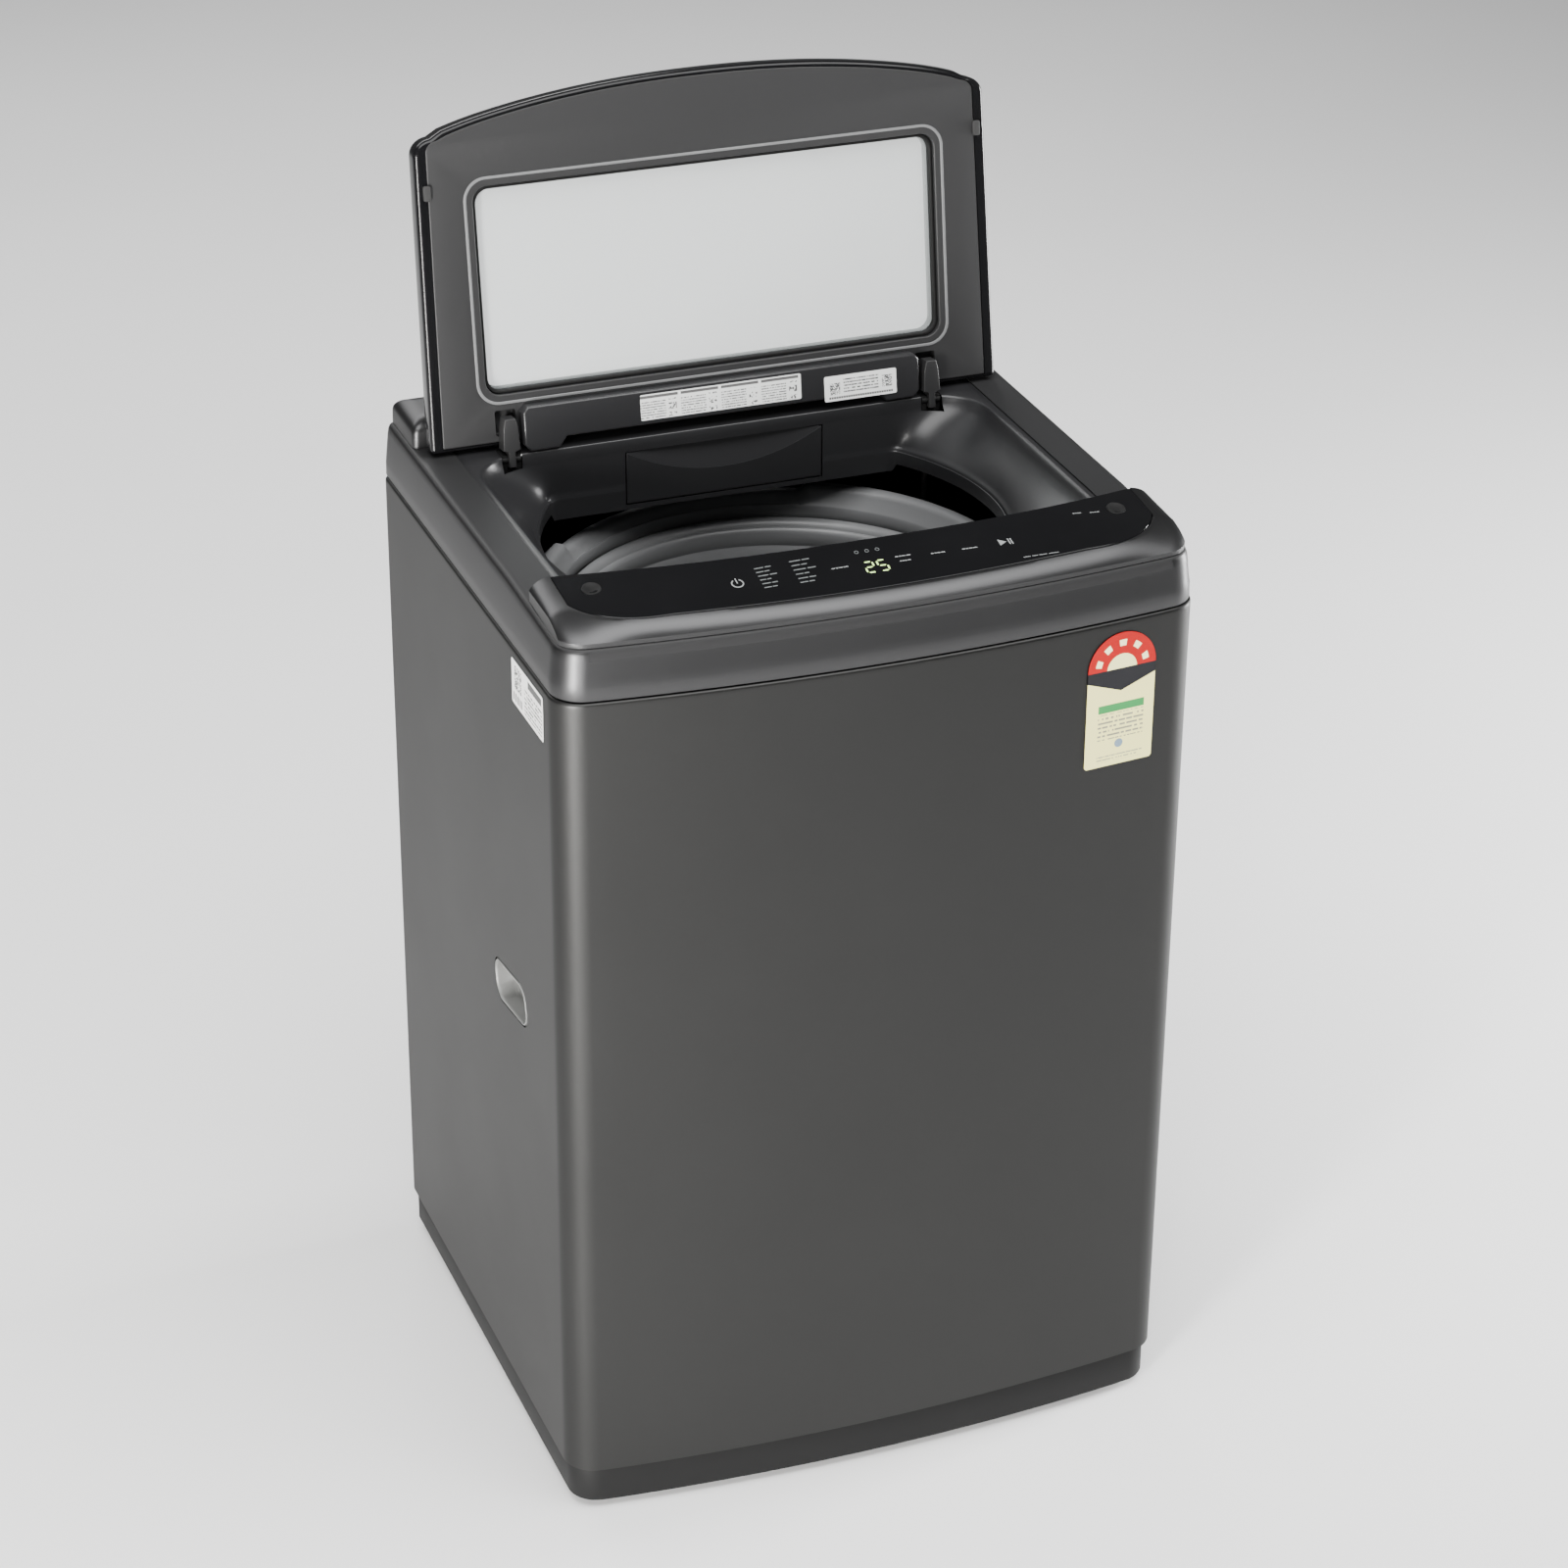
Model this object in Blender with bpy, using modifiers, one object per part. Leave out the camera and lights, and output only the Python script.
"""Top load washing machine with its glass lid open.

Metres, +Z up, +X to the machine's right as a user faces it (the front is -Y).
The origin is on the floor under the middle of the cabinet, which is also the spin axis.
"""
import bpy
import bmesh
from math import sin, cos, pi, radians, atan2
from mathutils import Matrix

# ---- driving dimensions -------------------------------------------------------------------
HALF_W = 0.295          # cabinet half width
FRONT_Y = -0.268        # front face at its middle
BACK_Y = 0.268          # rear face
BOW = 0.020             # how far the front bulges between its corners
FRONT_R = 0.030         # front vertical corner radius
REAR_R = 0.010          # rear vertical corner radius
FOOT_H = 0.008          # height of the plinth above the floor
BASE_TOP = 0.046        # top of the plinth
SEAM_Z = 0.8313         # joint between cabinet and top frame
CREASE_Z = 0.8810       # upper outer edge of the top frame along the sides
LEDGE_Z = 0.8840        # flat ledge beside the lid
FRONT_DROP = 0.0060     # how much lower the crease and ledge run along the front
REAR_TOP = 0.9100       # top of the rear cover
SHEET = 0.0012          # steel sheet
WALL = 0.0025           # moulded plastic wall
GAP = 0.0003            # clearance between pieces that touch

HOLE_Y, HOLE_R = 0.020, 0.213           # loading hole in the deck
HOLE_Z = 0.836                          # its rim
WELL_X, WELL_FRONT, WELL_BACK = 0.247, -0.215, 0.150   # deck well at its top
DECK_X, DECK_FRONT, DECK_BACK = 0.2537, -0.222, 0.1862  # deck moulding outline

HINGE_Y, HINGE_Z = 0.151, 0.879         # lid hinge axis
LEAN = radians(8.5)                     # lean of the open lid past vertical
LID_X = 0.277                           # lid half width at the hinge end
LID_U0, LID_U1, LID_SAG = 0.0112, 0.3315, 0.029   # lid from hinge end to bowed free edge
LID_W0, LID_W1 = -0.0092, -0.0292       # lid underside and top, measured from the axis
PANE_X, PANE_U0, PANE_U1 = 0.222, 0.058, 0.249   # see-through part of the lid

TUB_R, TUB_Z0, TUB_Z1 = 0.2500, 0.205, 0.742
RING_R = 0.2030                         # inner lip of the tub cover
BASKET_R, BASKET_Z0, BASKET_Z1 = 0.2330, 0.232, 0.7280
BALANCE_R0 = 0.1860                     # inner radius of the balance ring
DRAWER_X, DRAWER_Z0, DRAWER_Z1 = 0.0960, 0.8185, 0.8690

for old in list(bpy.data.objects):
    bpy.data.objects.remove(old, do_unlink=True)

parts = bpy.data.collections.new("top_load_washing_machine")
cutters = bpy.data.collections.new("cutters")
bpy.context.scene.collection.children.link(parts)
bpy.context.scene.collection.children.link(cutters)


# ---- helpers ------------------------------------------------------------------------------
def material(name, colour, roughness, metallic=0.0, alpha=1.0):
    mat = bpy.data.materials.new(name)
    mat.use_nodes = True
    shader = mat.node_tree.nodes["Principled BSDF"]
    shader.inputs["Base Color"].default_value = (*colour, 1.0)
    shader.inputs["Roughness"].default_value = roughness
    shader.inputs["Metallic"].default_value = metallic
    shader.inputs["Alpha"].default_value = alpha
    return mat


def place(name, data, mat, parent=None, at=(0, 0, 0), home=None):
    obj = bpy.data.objects.new(name, data)
    (home or parts).objects.link(obj)
    obj.parent = parent
    obj.location = at
    if mat:
        data.materials.append(mat)
    return obj


def from_bmesh(name, bm, mat, parent=None, at=(0, 0, 0), home=None):
    bmesh.ops.recalc_face_normals(bm, faces=bm.faces)
    mesh = bpy.data.meshes.new(name)
    bm.to_mesh(mesh)
    bm.free()
    return place(name, mesh, mat, parent, at, home)


def box(name, lo, hi, mat, parent=None, bevel=0.0, home=None):
    """A box between two corners, with its edges rounded by a Bevel."""
    bm = bmesh.new()
    bmesh.ops.create_cube(bm, size=1.0)
    for v in bm.verts:
        v.co = [(a + b) / 2 + (b - a) * c for a, b, c in zip(lo, hi, v.co)]
    obj = from_bmesh(name, bm, mat, parent, home=home)
    if bevel:
        mod = obj.modifiers.new("bevel", "BEVEL")
        mod.width, mod.segments = bevel, 2
    return obj


def rod(name, radius, start, length, axis, mat, parent=None, sides=16, home=None):
    """A cylinder from a start point along X, Y or Z."""
    bm = bmesh.new()
    turn = {"X": Matrix.Rotation(pi / 2, 4, "Y"), "Y": Matrix.Rotation(-pi / 2, 4, "X"),
            "Z": Matrix.Identity(4)}[axis]
    lift = Matrix.Translation((0, 0, length / 2))
    bmesh.ops.create_cone(bm, cap_ends=True, segments=sides, radius1=radius, radius2=radius,
                          depth=length, matrix=Matrix.Translation(start) @ turn @ lift)
    return from_bmesh(name, bm, mat, parent, home=home)


def turned(name, profile, mat, parent=None, steps=40, closed=True, at=(0, 0, 0)):
    """A turned solid: (radius, height) points run down the outer side and back up inside."""
    bm = bmesh.new()
    verts = [bm.verts.new((r, 0, z)) for r, z in profile]
    for a, b in zip(verts, verts[1:]):
        bm.edges.new((a, b))
    if closed:
        bm.edges.new((verts[-1], verts[0]))
    mesh = bpy.data.meshes.new(name)
    bm.to_mesh(mesh)
    bm.free()
    obj = place(name, mesh, mat, parent, at)
    mod = obj.modifiers.new("screw", "SCREW")
    mod.axis, mod.angle, mod.steps, mod.render_steps = "Z", 2 * pi, steps, steps
    mod.use_merge_vertices, mod.merge_threshold = True, 0.00001
    mod.use_smooth_shade = False
    return obj


def flat(name, outlines, low, high, mat, parent=None, at=(0, 0, 0), home=None):
    """A flat piece from a 2D curve: the first outline is its edge, the others are holes."""
    curve = bpy.data.curves.new(name, "CURVE")
    curve.dimensions, curve.fill_mode = "2D", "BOTH"
    curve.extrude = (high - low) / 2
    for outline in outlines:
        spline = curve.splines.new("POLY")
        spline.points.add(len(outline) - 1)
        for point, (x, y) in zip(spline.points, outline):
            point.co = (x, y, 0, 1)
        spline.use_cyclic_u = True
    guide = place(name + "_outline", curve, None)
    bpy.context.view_layer.update()
    graph = bpy.context.evaluated_depsgraph_get()
    mesh = bpy.data.meshes.new_from_object(guide.evaluated_get(graph))
    bpy.data.objects.remove(guide, do_unlink=True)
    bm = bmesh.new()
    bm.from_mesh(mesh)
    bpy.data.meshes.remove(mesh)
    bmesh.ops.remove_doubles(bm, verts=bm.verts, dist=0.00001)
    bmesh.ops.translate(bm, verts=bm.verts, vec=(0, 0, (low + high) / 2))
    return from_bmesh(name, bm, mat, parent, at, home)


def loft(name, rings, mat, parent=None, closed=True, caps=True, wall=0.0, home=None):
    """Skin over rings of equal point counts; with a wall it stays an open, thickened sheet."""
    bm = bmesh.new()
    rows = [[bm.verts.new(p) for p in ring] for ring in rings]
    count = len(rows[0])
    for low, high in zip(rows, rows[1:]):
        for i in range(count if closed else count - 1):
            j = (i + 1) % count
            bm.faces.new((low[i], low[j], high[j], high[i]))
    if caps:
        bm.faces.new(rows[0])
        bm.faces.new(rows[-1])
    obj = from_bmesh(name, bm, mat, parent, home=home)
    if wall:
        mod = obj.modifiers.new("wall", "SOLIDIFY")
        mod.thickness, mod.offset, mod.use_even_offset = abs(wall), (1 if wall > 0 else -1), True
    return obj


def carve(obj, tool, operation="DIFFERENCE"):
    tool.hide_render = True
    tool.display_type = "WIRE"
    mod = obj.modifiers.new(tool.name, "BOOLEAN")
    mod.operation, mod.object, mod.solver = operation, tool, "EXACT"
    return obj


def rounded(x0, x1, y0, y1, radius, steps=4):
    """A rounded rectangle, counter-clockwise from its right side."""
    points = []
    for cx, cy, start in ((x1 - radius, y1 - radius, 0), (x0 + radius, y1 - radius, 90),
                          (x0 + radius, y0 + radius, 180), (x1 - radius, y0 + radius, 270)):
        for k in range(steps + 1):
            t = radians(start + 90 * k / steps)
            points.append((cx + radius * cos(t), cy + radius * sin(t)))
    return points


def circle(x, y, radius, sides=24):
    return [(x + radius * cos(2 * pi * k / sides), y + radius * sin(2 * pi * k / sides))
            for k in range(sides)]


def plan(inset=0.0, corner=5, front=9):
    """Cabinet outline seen from above: rear right, down the side, along the bow, and back."""
    w, y_back = HALF_W - inset, BACK_Y - inset
    rear, r = max(REAR_R - inset, 0.002), FRONT_R - inset / 2

    def bow(x):
        return FRONT_Y + inset + BOW * (x / HALF_W) ** 2
    slope = 2 * BOW / HALF_W
    half = [(w - rear + rear * cos(t), y_back - rear + rear * sin(t))
            for t in (radians(90 * (1 - k / 3)) for k in range(4))]
    y_mid = bow(w - r * (1 - slope)) + r
    for k in range(corner + 1):
        t = -(pi / 2 - slope) * k / corner
        half.append((w - r + r * cos(t), y_mid + r * sin(t)))
    x_end = half[-1][0]
    middle = [(x, bow(x)) for x in (x_end * (1 - 2 * k / (front + 1)) for k in range(1, front + 1))]
    return half + middle + [(-x, y) for x, y in reversed(half)]


def at_height(points, z):
    return [(x, y, z) for x, y in points]


# ---- materials ----------------------------------------------------------------------------
paint = material("grey_painted_steel", (0.075, 0.075, 0.073), 0.38, 0.55)
trim = material("grey_metallic_plastic", (0.085, 0.085, 0.088), 0.34, 0.45)
gloss = material("gloss_black_plastic", (0.012, 0.012, 0.013), 0.12)
deck_mat = material("dark_grey_plastic", (0.030, 0.030, 0.032), 0.32)
frame_mat = material("charcoal_plastic", (0.070, 0.070, 0.072), 0.42)
black = material("matt_black_plastic", (0.018, 0.018, 0.018), 0.60)
glass = material("tempered_glass", (0.62, 0.64, 0.64), 0.05, 0.0, 0.45)
light = material("light_grey_plastic", (0.42, 0.43, 0.44), 0.42)
white = material("white_polypropylene", (0.72, 0.73, 0.73), 0.45)
steel = material("stainless_steel", (0.58, 0.58, 0.58), 0.25, 1.0)
zinc = material("zinc_plated_steel", (0.50, 0.50, 0.48), 0.40, 1.0)
rubber = material("black_rubber", (0.02, 0.02, 0.02), 0.80)
copper = material("copper_winding", (0.55, 0.26, 0.12), 0.35, 1.0)
cast = material("cast_aluminium", (0.48, 0.48, 0.47), 0.50, 1.0)
paper = material("printed_paper", (0.80, 0.80, 0.78), 0.55)
board_mat = material("circuit_board", (0.03, 0.16, 0.07), 0.50)

# ---- base and feet ------------------------------------------------------------------------
feet_at = [(x, y) for x in (-0.245, 0.245) for y in (-0.200, 0.220)]
holes = [circle(x, y, 0.0064, 12) for x, y in feet_at]
base_frame = flat("base_frame", [plan(0.0045), rounded(-0.20, 0.20, -0.19, 0.20, 0.05)] + holes,
                  FOOT_H, BASE_TOP, black)
for k, (x, y) in enumerate(feet_at):
    carve(base_frame, rod("foot_pocket_%d" % k, 0.0215, (x, y, 0.0), 0.0160, "Z", None, sides=24,
                          home=cutters))
for tag, (x, y) in zip(("front_left", "rear_left", "front_right", "rear_right"), feet_at):
    turned("levelling_foot_" + tag, [(0.0, 0.036), (0.0060, 0.036), (0.0060, 0.0145),
           (0.0170, 0.0145), (0.0200, 0.0115), (0.0200, 0.0), (0.0, 0.0)],
           rubber, steps=16, closed=False, at=(x, y, 0))

# ---- cabinet ------------------------------------------------------------------------------
side_wall = plan(0.0)[3:-3]
flange = [(HALF_W - 0.035, BACK_Y - 0.0015), (HALF_W - REAR_R, BACK_Y - 0.0015)]
wrap = flange + [(x, min(y, BACK_Y - 0.0015 - REAR_R)) for x, y in side_wall]
wrap += [(-x, y) for x, y in reversed(flange)]
cabinet_shell = loft("cabinet_shell", [at_height(wrap, BASE_TOP + GAP), at_height(wrap, SEAM_Z - GAP)],
                     paint, closed=False, caps=False, wall=-SHEET)


def grip_outline(side):
    """A slanted slot whose front end is higher and whose ends lean with it."""
    shape = []
    for x, y in rounded(-0.0460, 0.0460, -0.0205, 0.0205, 0.016, 3):
        x += side * 0.1 * y
        turn = -side * radians(8)
        shape.append((x * cos(turn) - y * sin(turn), x * sin(turn) + y * cos(turn)))
    return shape


for tag, side in (("left", -1), ("right", 1)):
    grip_shape = grip_outline(side)
    seat = bpy.data.objects.new("grip_seat_" + tag, None)
    parts.objects.link(seat)
    seat.location = (side * HALF_W, -0.096, 0.474)
    seat.rotation_euler = (pi / 2, 0, side * pi / 2)
    slot = flat("grip_slot_" + tag, [grip_shape], -0.004, 0.004, None, seat, home=cutters)
    carve(cabinet_shell, slot)
    # the cup's skin runs from its inner floor, out over the rim and flange, and back behind
    loft("side_grip_" + tag,
         [[(x * sx, y * sy, z) for x, y in grip_shape] for sx, sy, z in
          ((0.84, 0.60, -0.0200), (0.93, 0.86, 0.0004), (0.985, 0.965, 0.0004),
           (0.985, 0.965, -0.0016), (1.10, 1.26, -0.0016), (1.10, 1.26, -0.0036),
           (0.98, 0.95, -0.0036), (0.88, 0.70, -0.0220))], frame_mat, seat)

back_panel = flat("back_panel", [rounded(-0.268, 0.268, 0.052, 0.823, 0.006, 2),
                                 circle(0.180, 0.110, 0.0212, 24), circle(-0.180, 0.110, 0.0122, 16)],
                  0.0, SHEET, paint)
back_panel.rotation_euler = (pi / 2, 0, 0)
back_panel.location = (0, BACK_Y, 0)
turned("drain_outlet", [(0.0205, 0.0), (0.0205, 0.002), (0.0170, 0.002), (0.0170, 0.060),
       (0.0135, 0.060), (0.0135, 0.0)][::-1], black, steps=24)
drain_outlet = parts.objects["drain_outlet"]
drain_outlet.rotation_euler = (pi / 2, 0, 0)
drain_outlet.location = (0.180, BACK_Y, 0.110)
turned("power_inlet_gland", [(0.0, 0.0), (0.0115, 0.0), (0.0115, 0.0012), (0.0085, 0.0012),
       (0.0085, 0.014), (0.0, 0.014)][::-1], black, steps=16, closed=False)
power_gland = parts.objects["power_inlet_gland"]
power_gland.rotation_euler = (pi / 2, 0, 0)
power_gland.location = (-0.180, BACK_Y, 0.110)

# ---- top frame, rear cover and control nose -----------------------------------------------
outer = plan(0.0)
count = len(outer)


def opening(points):
    """The rounded opening of the top frame, one point for each point of the outline."""
    inner = []
    for x, y in points:
        px = max(-DECK_X - GAP, min(DECK_X + GAP, x * 0.90))
        py = max(DECK_FRONT - GAP, min(DECK_BACK + GAP, y))
        inner.append((px, py))
    return inner


def drop(y):
    """How far the top edge has sunk at a given depth on its way round the front corners."""
    t = max(0.0, min(1.0, (-0.150 - y) / 0.090))
    return FRONT_DROP * t * t * (3 - 2 * t)


def dropped(points, z):
    return [(x, y, z - drop(y)) for x, y in points]


edge = opening(outer)
frame_rings = [at_height(outer, SEAM_Z + GAP), dropped(plan(0.0040), CREASE_Z - 0.006),
               dropped(plan(0.0058), CREASE_Z), dropped(plan(0.0088), LEDGE_Z),
               dropped(edge, LEDGE_Z), dropped(edge, LEDGE_Z - WALL),
               dropped(plan(0.0115), LEDGE_Z - WALL), dropped(plan(0.0090), CREASE_Z - 0.006),
               at_height(plan(WALL + 0.0012), SEAM_Z + GAP)]
top_frame = loft("top_frame", frame_rings + [frame_rings[0]], trim, caps=False)
bm = bmesh.new()
bm.from_mesh(top_frame.data)
bmesh.ops.remove_doubles(bm, verts=bm.verts, dist=0.00001)
bmesh.ops.recalc_face_normals(bm, faces=bm.faces)
bm.to_mesh(top_frame.data)
bm.free()

REAR_Y = 0.1905


def rear_outline(inset):
    keep = [(x, y) for x, y in plan(0.0088 + inset) if y > REAR_Y + 0.02]
    half = [(x, y) for x, y in keep if x > 0]
    side = [(half[-1][0], REAR_Y + inset)]
    right = half + side
    return [(-x, y) for x, y in reversed(right)] + right


rear_cover = loft("rear_cover", [at_height(rear_outline(0.0), LEDGE_Z + GAP),
                                 at_height(rear_outline(0.0), REAR_TOP - 0.009),
                                 at_height(rear_outline(0.0025), REAR_TOP - 0.003),
                                 at_height(rear_outline(0.0080), REAR_TOP)], trim)
carve(rear_cover, box("rear_pocket", (-0.262, 0.1965, 0.86), (0.262, 0.2520, REAR_TOP - 0.004),
                      None, home=cutters))


def lid_edge(x):
    """Distance of the lid's free edge from the hinge axis at a given x."""
    return LID_U1 - LID_SAG * (abs(x) / 0.25) ** 2.2


def fascia_rear(x):
    return HINGE_Y - lid_edge(min(abs(x), 0.262)) - 0.0032


def fascia_top(x):
    return 0.9046 + 0.0065 * (1 - min(1, (x / 0.262) ** 2))


def fascia_front(x):
    x = abs(x)
    if x < 0.19:
        return -0.2460 + 0.0085 * (x / 0.19) ** 2
    return -0.180 - 0.0575 * max(0.0, 1 - ((x - 0.19) / 0.0815) ** 2.4) ** 0.5


def nose_front(x):
    row = sorted(plan(0.0088))
    right = [p for p in row if p[1] < 0]
    for a, b in zip(right, right[1:]):
        if a[0] <= x <= b[0] and b[0] > a[0]:
            return a[1] + (b[1] - a[1]) * (x - a[0]) / (b[0] - a[0])
    return -0.20


def slope_at(x, y):
    """Height of the sloping face that carries the control panel."""
    seat = LEDGE_Z + 0.0060
    return seat + (fascia_top(x) - 0.0031 - seat) * (y + 0.246) / (fascia_rear(x) + 0.246)


NOSE_X, FASCIA_X = 0.2855, 0.2680
sections = []
for k in range(25):
    x = -NOSE_X * cos(pi * k / 24)
    far = max(0.0, (abs(x) - 0.265) / (NOSE_X - 0.265 + 0.0008))
    crown = (1 - far ** 2) ** 0.5
    rear, y0, z0 = fascia_rear(x), nose_front(x) + 0.0005, LEDGE_Z + GAP
    step = fascia_front(min(abs(x), 0.2675)) - 0.0016
    step = max(step, y0 + 0.0030)
    z_low, side = z0 - drop(y0), z0 + 0.0040
    z_step = side + (slope_at(x, step) + 0.0016 - side) * crown
    z_rear = side + (slope_at(x, rear) + 0.0016 - side) * crown
    wall, run, rise = z_low + 0.0040, step - y0, z_step - z_low - 0.0040
    bulge = [(x, y0 + run * (1 - cos(t)), wall + rise * sin(t))
             for t in (radians(a) for a in (0, 25, 50, 72))]
    sections.append([(x, y0, z_low)] + bulge + [(x, step, z_step), (x, rear, z_rear),
                                                (x, rear, z0)])
control_nose = loft("control_nose", sections, trim)
carve(control_nose, box("nose_pocket", (-0.235, -0.2120, 0.86), (0.235, -0.120, 0.8900), None,
                        home=cutters))


def fascia_sections(low, high, grow, back):
    """Slices of the inlaid panel: its underside is lifted by low and its face by high."""
    out = []
    for k in range(27):
        x = -FASCIA_X * cos(pi * k / 26)
        y0, y1 = fascia_front(x) - grow, fascia_rear(x) + back
        px = x * (1 + grow / FASCIA_X)
        out.append([(px, y0, slope_at(x, y0) + low), (px, y0, slope_at(x, y0) + high - 0.0010),
                    (px, y0 + 0.0015, slope_at(x, y0 + 0.0015) + high),
                    (px, y1, slope_at(x, y1) + high), (px, y1, slope_at(x, y1) + low)])
    return out


control_fascia = loft("control_fascia", fascia_sections(GAP, 0.0031, 0.0, -0.0006), gloss)
carve(control_nose, loft("fascia_seat", fascia_sections(-0.0008, 0.02, 0.0008, 0.004), None,
                         home=cutters))
control_board = box("control_board", (-0.200, -0.2080, 0.8865), (0.200, -0.1850, 0.8883), board_mat)

# ---- deck ---------------------------------------------------------------------------------
RAYS = 56


def ray_box(t, x_half, y_low, y_high, radius):
    """Where a ray from the hole's centre leaves a rounded rectangle."""
    dx, dy = cos(t), sin(t)
    low, high = 0.0, 0.6
    for _ in range(30):
        mid = (low + high) / 2
        x, y = abs(mid * dx), HOLE_Y + mid * dy
        over = max(x - (x_half - radius), 0.0)
        side = max(y - (y_high - radius), (y_low + radius) - y, 0.0)
        inside = x <= x_half and y_low <= y <= y_high and over ** 2 + side ** 2 <= radius ** 2
        inside = inside or (x <= x_half and y_low <= y <= y_high and min(over, side) == 0.0)
        low, high = (mid, high) if inside else (low, mid)
    return low * dx, HOLE_Y + low * dy


def hole(t, radius, back):
    x, y = radius * cos(t), HOLE_Y + radius * sin(t)
    return x, min(y, back)


angles = [2 * pi * (k + 0.5) / RAYS for k in range(RAYS)]
deck_rings = []
for x_half, y_low, y_high, radius, z in ((DECK_X, DECK_FRONT, DECK_BACK, 0.006, LEDGE_Z - 0.0008),
                                         (WELL_X, WELL_FRONT, WELL_BACK, 0.045, LEDGE_Z - 0.0008),
                                         (WELL_X - 0.004, WELL_FRONT + 0.004, WELL_BACK - 0.0004,
                                          0.05, LEDGE_Z - 0.008)):
    deck_rings.append(dropped([ray_box(t, x_half, y_low, y_high, radius) for t in angles], z))
slope = deck_rings[-1]
rim = [hole(t, HOLE_R, WELL_BACK - 0.0008) for t in angles]
deck_rings.append([(x * 0.45 + a * 0.55, y * 0.45 + b * 0.55, LEDGE_Z - 0.030)
                   for (x, y), (a, b, _) in zip(rim, slope)])
deck_rings.append([(x, y, HOLE_Z) for x, y in rim])
lip = [hole(t, HOLE_R - 0.0015, WELL_BACK - 0.0012) for t in angles]
deck_rings.append([(x, y, 0.8125 if y > WELL_BACK - 0.002 else 0.8200) for x, y in lip])
deck_basin = loft("deck_basin", deck_rings, deck_mat, caps=False, wall=-0.0022)
carve(deck_basin, box("drawer_window", (-DRAWER_X - 0.0012, 0.10, DRAWER_Z0 - 0.0012),
                      (DRAWER_X + 0.0012, 0.165, DRAWER_Z1 + 0.0012), None, home=cutters))
for tag, side in (("left", -1), ("right", 1)):
    carve(deck_basin, box("hinge_well_" + tag, (side * 0.206 - 0.0100, 0.1380, 0.85),
                          (side * 0.206 + 0.0100, 0.1680, 0.90), None, home=cutters))
    bracket = box("hinge_bracket_" + tag, (side * 0.206 - 0.0092, 0.1435, 0.8660),
                  (side * 0.206 + 0.0092, 0.1590, 0.8855), black, bevel=0.0008)
    carve(bracket, box("hinge_slot_" + tag, (side * 0.206 - 0.0040, 0.13, 0.8690),
                       (side * 0.206 + 0.0040, 0.17, 0.90), None, home=cutters))
    carve(bracket, rod("hinge_bore_" + tag, 0.0034, (side * 0.206 - 0.02, HINGE_Y, HINGE_Z), 0.04,
                       "X", None, home=cutters))

# ---- dispenser ----------------------------------------------------------------------------
housing = box("dispenser_housing", (-0.1040, 0.1535, 0.8130), (0.1040, 0.2420, 0.8765), deck_mat)
carve(housing, box("housing_bore", (-DRAWER_X - 0.0012, 0.14, DRAWER_Z0 - 0.0012),
                   (DRAWER_X + 0.0012, 0.2395, DRAWER_Z1 + 0.0012), None, home=cutters))
drawer = box("dispenser_drawer", (-DRAWER_X, 0.1488, DRAWER_Z0), (DRAWER_X, 0.2360, DRAWER_Z1),
             deck_mat, bevel=0.0010)
for tag, x0, x1 in (("wash", -0.0925, -0.0015), ("soft", 0.0015, 0.0925)):
    carve(drawer, box("cup_" + tag, (x0, 0.1640, DRAWER_Z0 + 0.0025), (x1, 0.2335, 0.90), None,
                      home=cutters))
carve(drawer, turned("scoop", [(0.0, 0.13), (0.1900, 0.13), (0.1900, 0.1570), (0.0, 0.1570)][::-1],
                     None, steps=72, closed=False))
scoop = parts.objects["scoop"]
parts.objects.unlink(scoop)
cutters.objects.link(scoop)
scoop.rotation_euler = (-pi / 2, 0, 0)
scoop.location = (0, 0, DRAWER_Z1 + 0.1640)

inlet_valve = box("inlet_valve", (-0.215, 0.2040, 0.8852), (-0.145, 0.2400, 0.9045), white, bevel=0.002)
for side in (-0.020, 0.020):
    carve(inlet_valve, rod("spigot_%d" % (side > 0), 0.0085, (-0.180 + side, 0.2300, 0.8950), 0.0375,
                           "Y", None, home=cutters), "UNION")
    carve(rear_cover, rod("spigot_hole_%d" % (side > 0), 0.0105, (-0.180 + side, 0.2400, 0.8950),
                          0.05, "Y", None, home=cutters))

# ---- lid ----------------------------------------------------------------------------------
lid_pivot = bpy.data.objects.new("lid_pivot", None)
parts.objects.link(lid_pivot)
lid_pivot.location = (0, HINGE_Y, HINGE_Z)
lid_pivot.rotation_euler = (pi / 2 - LEAN, 0, 0)


def lid_outline(side, near, free, radius=0.016):
    """Lid outline: sides, a squared hinge end and the bowed free edge, all inset."""
    wide, narrow = LID_X - side, LID_X - 0.004 - side
    u0 = LID_U0 + near
    right = [(wide, u0)]
    top = lid_edge(narrow) - free
    for k in range(6):
        t = radians(90 * k / 5)
        right.append((narrow - radius + radius * cos(t), top - radius * 0.85 + radius * sin(t) * 0.85))
    x_end = right[-1][0]
    arch = []
    for k in range(1, 12):
        x = x_end * (1 - k / 6)
        arch.append((x, lid_edge(x) - free - 0.0015 * (1 - min(1, (x_end - abs(x)) / 0.04))))
    return right + arch + [(-x, u) for x, u in reversed(right)]


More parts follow.
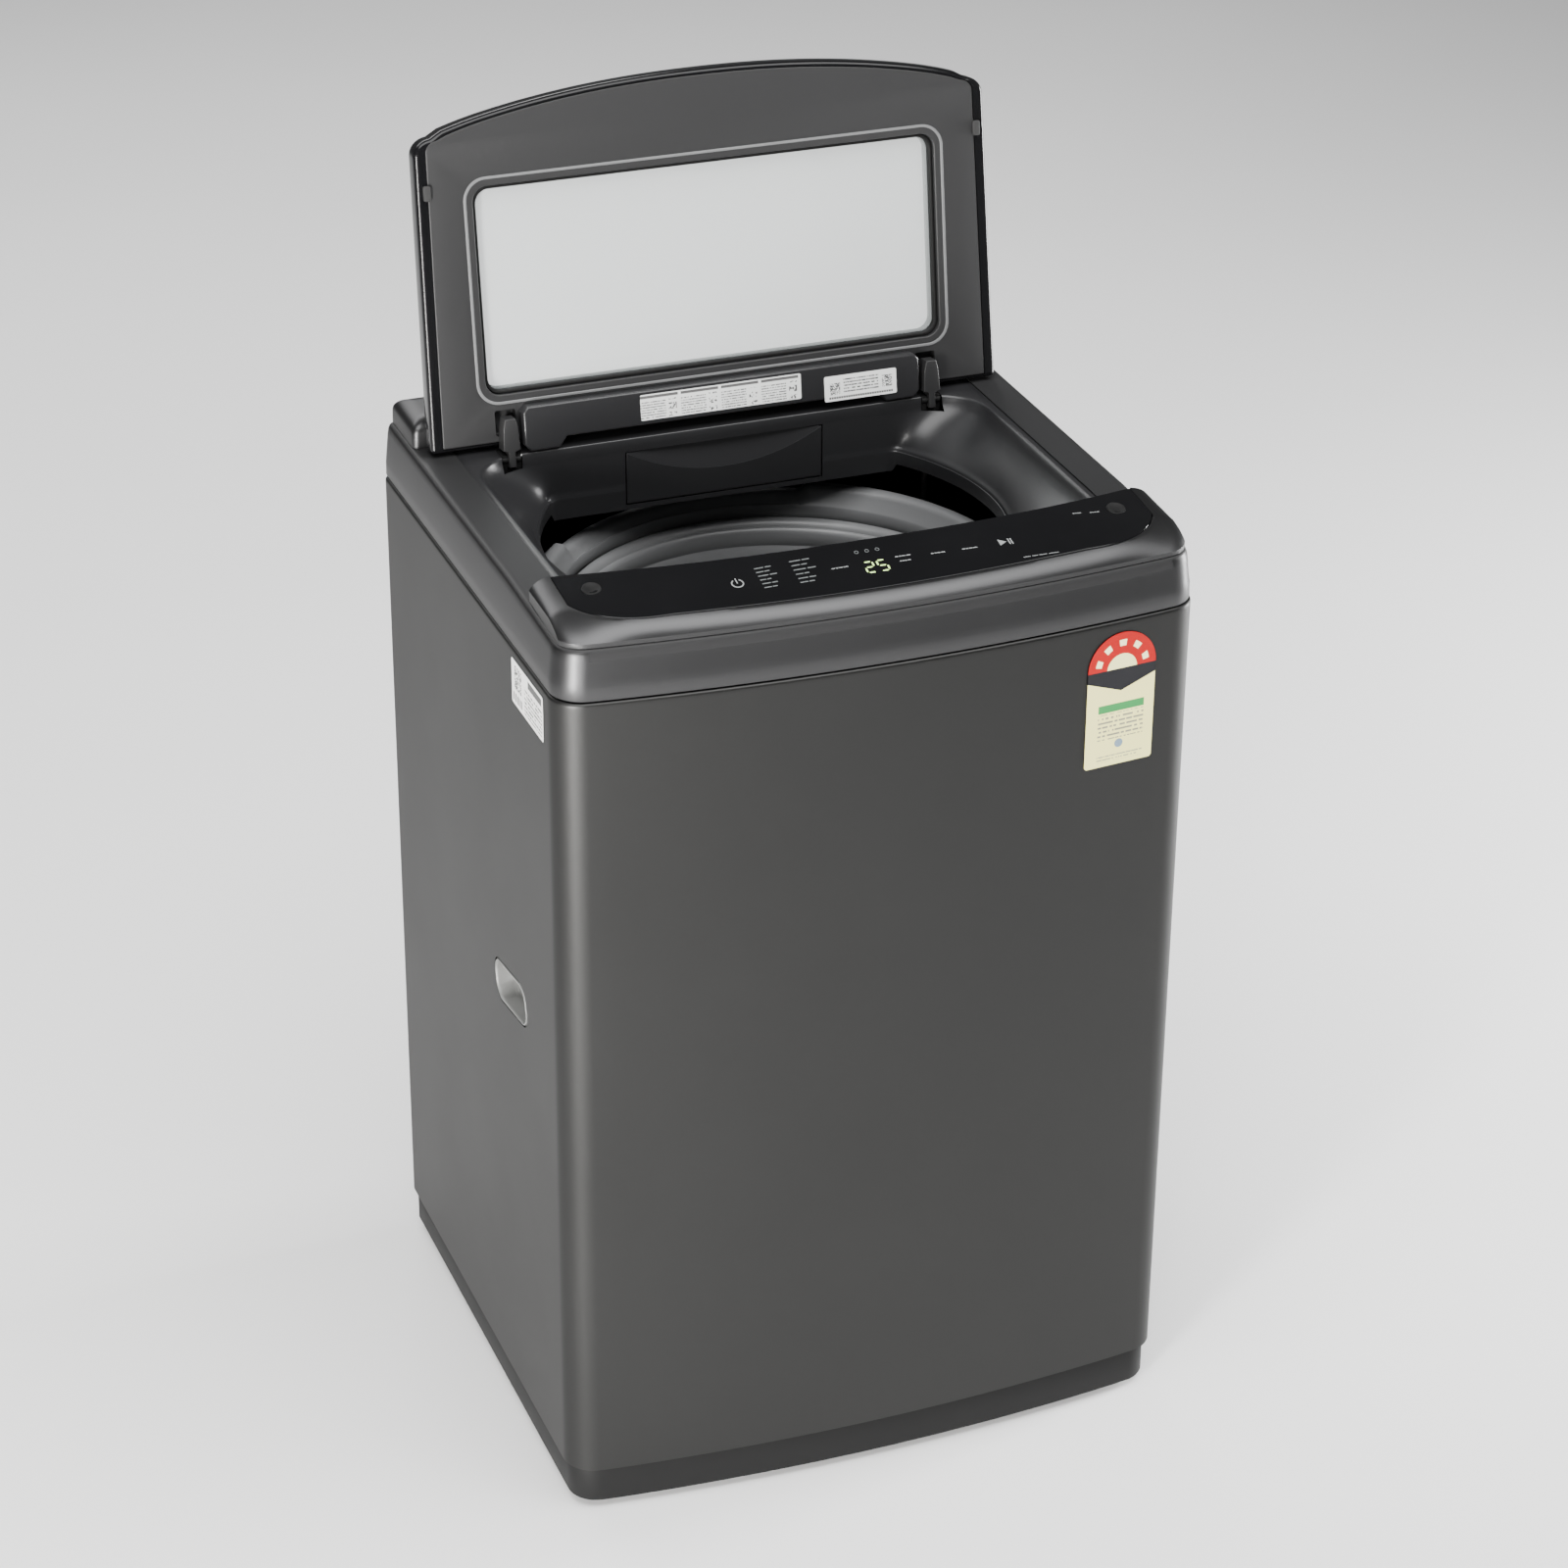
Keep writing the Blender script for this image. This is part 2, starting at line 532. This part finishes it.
pane = rounded(-PANE_X + 0.008, PANE_X - 0.008, PANE_U0 + 0.006, PANE_U1 - 0.006, 0.014)
lid_shell = flat("lid_shell", [lid_outline(0, 0, 0)], LID_W1, LID_W0, gloss, lid_pivot)
carve(lid_shell, flat("lid_hollow", [lid_outline(0.0105, 0.0030, 0.0045, 0.012)], LID_W1 + 0.0040,
                      0.02, None, lid_pivot, home=cutters))
carve(lid_shell, flat("lid_view", [pane], -0.05, 0.0, None, lid_pivot, home=cutters))
lid_glass = flat("lid_glass", [rounded(-PANE_X - 0.006, PANE_X + 0.006, PANE_U0 - 0.006,
                                       PANE_U1 + 0.006, 0.016)],
                 LID_W1 + 0.0043, LID_W1 + 0.0080, glass, lid_pivot)
window = rounded(-PANE_X, PANE_X, PANE_U0, PANE_U1, 0.014)
lid_inner = flat("lid_inner_frame", [lid_outline(0.0109, 0.0034, 0.0049, 0.0116), window],
                 LID_W1 + 0.0083, LID_W0, frame_mat, lid_pivot)
bezel = flat("window_bezel", [[(x * 0.9985, PANE_U0 + 0.0003 + (u - PANE_U0) * 0.9965)
                               for x, u in window],
                              rounded(-PANE_X + 0.007, PANE_X - 0.007, PANE_U0 + 0.005,
                                      PANE_U1 - 0.005, 0.012)],
             LID_W1 + 0.0083, LID_W0 - 0.0040, black, lid_pivot)
for tag, side in (("left", -1), ("right", 1)):
    box("lid_bumper_" + tag, (side * 0.264 - 0.0035, 0.242, LID_W0 + GAP),
        (side * 0.264 + 0.0035, 0.256, -0.0055), rubber, lid_pivot, bevel=0.001)
hinge_cover = box("hinge_cover", (-0.1935, 0.0060, LID_W0 + GAP), (0.1935, 0.0475, 0.0060),
                  deck_mat, lid_pivot, bevel=0.003)
for tag, side in (("left", -1), ("right", 1)):
    arm = box("hinge_arm_" + tag, (side * 0.206 - 0.0032, -0.0070, LID_W0 + GAP),
              (side * 0.206 + 0.0032, 0.0380, 0.0060), zinc, lid_pivot, bevel=0.002)
    carve(arm, rod("hinge_pin_" + tag, 0.0030, (side * 0.206 - 0.0090, 0, 0), 0.0180, "X", None,
                   lid_pivot, home=cutters), "UNION")
box("care_label", (-0.082, 0.0200, 0.0063), (0.075, 0.0440, 0.0066), paper, lid_pivot)
box("data_label", (0.098, 0.0130, 0.0063), (0.170, 0.0370, 0.0066), paper, lid_pivot)

# ---- stickers on the cabinet --------------------------------------------------------------
star = rounded(0.186, 0.254, 0.650, 0.770, 0.003, 1)
tilt = -0.0945 * 0.9
sticker = flat("rating_label", [[(x, z) for x, z in rounded(-0.034, 0.034, 0.0, 0.104, 0.002, 1)[5:]
                                 if z < 0.05] +
                                [(0.034 * cos(pi * k / 12), 0.094 + 0.034 * sin(pi * k / 12))
                                 for k in range(13)]], 0.0003, 0.0006, paper)
sticker.rotation_euler = (pi / 2, 0, 0.0985)
sticker.location = (0.2170, FRONT_Y + BOW * (0.2170 / HALF_W) ** 2 - 0.0004, 0.692)
box("side_label", (-HALF_W - 0.0006, -0.2100, 0.7800), (-HALF_W - 0.0003, -0.1250, 0.8220), paper)

# ---- tub, cover ring and suspension -------------------------------------------------------
lugs_at = [(x, y) for x in (-0.222, 0.222) for y in (-0.195, 0.195)]
outer_tub = turned("outer_tub", [(TUB_R, TUB_Z1), (TUB_R, 0.230), (TUB_R - 0.020, TUB_Z0),
                                 (0.0820, TUB_Z0), (0.0820, TUB_Z0 - 0.012), (0.0260, TUB_Z0 - 0.012),
                                 (0.0260, TUB_Z0 + 0.003), (TUB_R - 0.0215, TUB_Z0 + 0.003),
                                 (TUB_R - 0.003, 0.2315), (TUB_R - 0.003, TUB_Z1)], white)
for k, (x, y) in enumerate(lugs_at):
    lug = box("lug_%d" % k, (0.2483, -0.0160, 0.2620), (0.3150, 0.0160, 0.2770), None, home=cutters)
    lug.rotation_euler = (0, 0, atan2(y, x))
    carve(outer_tub, lug, "UNION")
for k, (x, y) in enumerate(lugs_at):
    carve(outer_tub, rod("rod_hole_%d" % k, 0.0068, (x, y, 0.24), 0.06, "Z", None, sides=12,
                         home=cutters))
    tag = ("front_left", "rear_left", "front_right", "rear_right")[k]
    turned("suspension_cup_" + tag, [(0.0200, 0.2617), (0.0200, 0.2200), (0.0180, 0.2200),
                                     (0.0180, 0.2590), (0.0062, 0.2590), (0.0062, 0.2617)],
           black, steps=16, at=(x, y, 0))
    turned("suspension_rod_" + tag, [(0.0, 0.8200), (0.0110, 0.8200), (0.0110, 0.8140),
                                     (0.0040, 0.8100), (0.0040, 0.2110), (0.0140, 0.2090),
                                     (0.0140, 0.2040), (0.0, 0.2040)],
           zinc, steps=12, closed=False, at=(x, y, 0))
hanger = {}
for k, (x, y) in enumerate(lugs_at):
    tag = ("front_left", "rear_left", "front_right", "rear_right")[k]
    sx, sy = (1 if x > 0 else -1), (1 if y > 0 else -1)
    plate_x = sorted((x - sx * 0.016, sx * (HALF_W - 0.0040)))
    bracket = box("hanger_" + tag, (plate_x[0], y - 0.018, 0.7940), (plate_x[1], y + 0.018, 0.8060),
                  zinc)
    carve(bracket, rod("hanger_hole_" + tag, 0.0052, (x, y, 0.78), 0.04, "Z", None, sides=12,
                       home=cutters))

tub_cover = turned("tub_cover", [(TUB_R + 0.0040, 0.7560), (TUB_R + 0.0040, 0.7380),
                                 (TUB_R + 0.0003, 0.7380), (TUB_R + 0.0003, TUB_Z1 + GAP),
                                 (TUB_R - 0.0040, TUB_Z1 + GAP), (0.2140, 0.7830),
                                 (RING_R + 0.0030, 0.7720), (RING_R + 0.0030, 0.7660),
                                 (RING_R, 0.7660), (RING_R, 0.7760), (0.2120, 0.7930),
                                 (0.2200, 0.7930)][::1], light)

# ---- basket, balance ring and pulsator ----------------------------------------------------
basket = turned("wash_basket", [(BASKET_R, BASKET_Z1), (BASKET_R, 0.262), (0.2150, BASKET_Z0),
                                (0.0500, BASKET_Z0), (0.0500, BASKET_Z0 - 0.010),
                                (0.0130, BASKET_Z0 - 0.010), (0.0130, BASKET_Z0 + 0.0015),
                                (0.2140, BASKET_Z0 + 0.0015), (BASKET_R - 0.0012, 0.2628),
                                (BASKET_R - 0.0012, BASKET_Z1)], steel)
balance_ring = turned("balance_ring", [(0.1990, 0.7620), (0.1990, 0.7440), (0.2380, 0.7300),
                                       (0.2380, 0.7120), (BASKET_R + GAP, 0.7120),
                                       (BASKET_R + GAP, BASKET_Z1 + GAP),
                                       (BASKET_R - 0.0015, BASKET_Z1 + GAP),
                                       (BASKET_R - 0.0015, 0.7000), (0.1960, 0.7000),
                                       (BALANCE_R0, 0.7120), (BALANCE_R0, 0.7560),
                                       (0.1920, 0.7620)], light)
lint_filter = box("lint_filter", (-0.0400, 0.2060, 0.4200), (0.0400, 0.2260, 0.5600), light,
                  bevel=0.004)
pulsator = turned("pulsator", [(0.0, 0.2950), (0.0300, 0.2950), (0.0450, 0.2800), (0.1000, 0.2640),
                               (0.1500, 0.2580), (0.1640, 0.2520), (0.1640, 0.2400),
                               (0.0, 0.2400)], light, closed=False)
for k in range(6):
    t = 2 * pi * k / 6
    blade = box("blade_%d" % k, (0.0250, -0.0060, 0.2500), (0.1500, 0.0060, 0.2860), None,
                bevel=0.004, home=cutters)
    blade.rotation_euler = (0, 0, t)
    carve(pulsator, blade, "UNION")
carve(pulsator, rod("shaft_hole", 0.0083, (0, 0, 0.20), 0.080, "Z", None, sides=16, home=cutters))
turned("pulsator_shaft", [(0.0, 0.2790), (0.0080, 0.2790), (0.0080, 0.1200), (0.0100, 0.1200),
                          (0.0100, 0.1040), (0.0, 0.1040)], zinc, steps=16, closed=False)
turned("basket_shaft", [(0.0127, 0.2350), (0.0127, 0.1500), (0.0103, 0.1500),
                        (0.0103, 0.2350)], zinc, steps=24)
turned("bearing_housing", [(0.0817, 0.1927), (0.0817, 0.1780), (0.0500, 0.1700), (0.0500, 0.1560),
                           (0.0130, 0.1560), (0.0130, 0.1990), (0.0255, 0.1990),
                           (0.0255, 0.1927)], cast, steps=28)
turned("motor_stator", [(0.1080, 0.1540), (0.1080, 0.1200), (0.0560, 0.1200), (0.0560, 0.1540)],
       copper, steps=28)
carve(parts.objects["motor_stator"], turned("stator_web", [(0.0600, 0.1557), (0.0600, 0.1460),
      (0.0300, 0.1460), (0.0300, 0.1557)], None, steps=28), "UNION")
web = parts.objects["stator_web"]
parts.objects.unlink(web)
cutters.objects.link(web)
turned("motor_rotor", [(0.1200, 0.1560), (0.1200, 0.1080), (0.0103, 0.1080), (0.0103, 0.1130),
                       (0.1120, 0.1130), (0.1120, 0.1560)], zinc, steps=28)
drain_pump = box("drain_pump", (0.140, 0.120, 0.0480), (0.215, 0.195, 0.1000), white, bevel=0.003)
carve(drain_pump, rod("pump_outlet", 0.0120, (0.180, 0.185, 0.0800), 0.0150, "Y", None,
                      home=cutters), "UNION")
